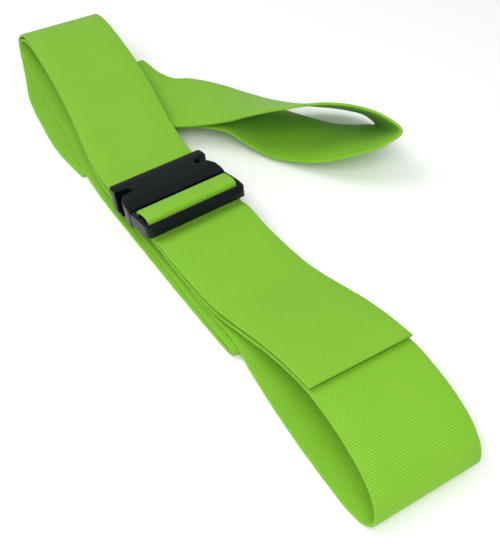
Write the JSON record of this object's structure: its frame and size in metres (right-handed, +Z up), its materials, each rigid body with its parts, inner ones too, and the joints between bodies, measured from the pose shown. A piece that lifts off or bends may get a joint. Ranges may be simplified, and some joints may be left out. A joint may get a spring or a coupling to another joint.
{
  "type": "luggage strap",
  "caption": "Two-piece luggage strap of flat woven webbing, folded for storage, with a plastic side-release buckle, an adjuster and sewn loops at both ends.",
  "frame": {"origin": "on the table under the middle of the buckle, on the underside of the lowest webbing", "axes": "+X along the folded strap from the double fold to the open carrying loop, +Z up from the table, +Y across the strap towards the twisted end loop"},
  "size_m": [0.3635, 0.1607, 0.0337],
  "materials": {
    "webbing": "woven polypropylene, slight sheen",
    "stitching": "polyester thread",
    "buckle": "moulded acetal, semi-gloss"
  },
  "bodies": {
    "female_webbing": {"lower_outer_run": "webbing", "outer_fold": "webbing", "upper_outer_run": "webbing", "anchor_bar_turn": "webbing", "upper_inner_run": "webbing", "inner_fold": "webbing", "lower_inner_run": "webbing", "front_fold": "webbing", "return_run": "webbing", "rear_fold": "webbing", "end_loop_root": "webbing", "end_loop_neck": "webbing", "end_loop_sewn_end": "webbing", "anchor_seam": "stitching"},
    "end_loop": {"end_loop_top": "webbing", "end_loop_tip": "webbing", "end_loop_bottom": "webbing", "end_loop_seam": "stitching"},
    "female_buckle": {"female_body": "buckle"},
    "male_half": {"male_frame": "buckle", "tail_root": "webbing", "centre_bar_turn": "webbing", "load_run": "webbing", "carry_loop_top": "webbing", "carry_loop_fold": "webbing", "carry_loop_bottom": "webbing", "carry_loop_seam": "stitching"},
    "left_prong": {"release_prong_left": "buckle"},
    "right_prong": {"release_prong_right": "buckle"},
    "tail_strap": {"tail": "webbing"}
  },
  "joints": [
    {"name": "buckle_tilt", "type": "hinge", "parent": "female_webbing", "child": "female_buckle", "pos_m": [-0.01498, -0.00173, 0.01033], "axis": [0.0698, -0.9976, 0], "range_deg": [0, 10]},
    {"name": "release_slide", "type": "slide", "parent": "female_buckle", "child": "male_half", "axis": [0.9792, 0.0685, 0.1908], "range_m": [0, 0.03], "deforming": ["release_prong_left", "release_prong_right"]},
    {"name": "left_squeeze", "type": "hinge", "parent": "male_half", "child": "left_prong", "pos_m": [0.00294, 0.01958, 0.01399], "axis": [-0.1903, -0.0133, 0.9816], "range_deg": [0, 12], "stiffness_Nm_per_rad": 0.3},
    {"name": "right_squeeze", "type": "hinge", "parent": "male_half", "child": "right_prong", "pos_m": [0.00573, -0.02033, 0.01399], "axis": [0.1903, 0.0133, -0.9816], "range_deg": [0, 12], "stiffness_Nm_per_rad": 0.3},
    {"name": "tail_lift", "type": "hinge", "parent": "male_half", "child": "tail_strap", "pos_m": [0.032, 0.0014, 0.0114], "axis": [0, -1, 0], "range_deg": [0, 95], "deforming": ["tail_root"]},
    {"name": "end_loop_lift", "type": "hinge", "parent": "female_webbing", "child": "end_loop", "pos_m": [-0.073, 0.0405, 0.0085], "axis": [0.684, -0.7295, 0], "range_deg": [0, 45], "deforming": ["end_loop_neck", "end_loop_sewn_end"]}
  ]
}
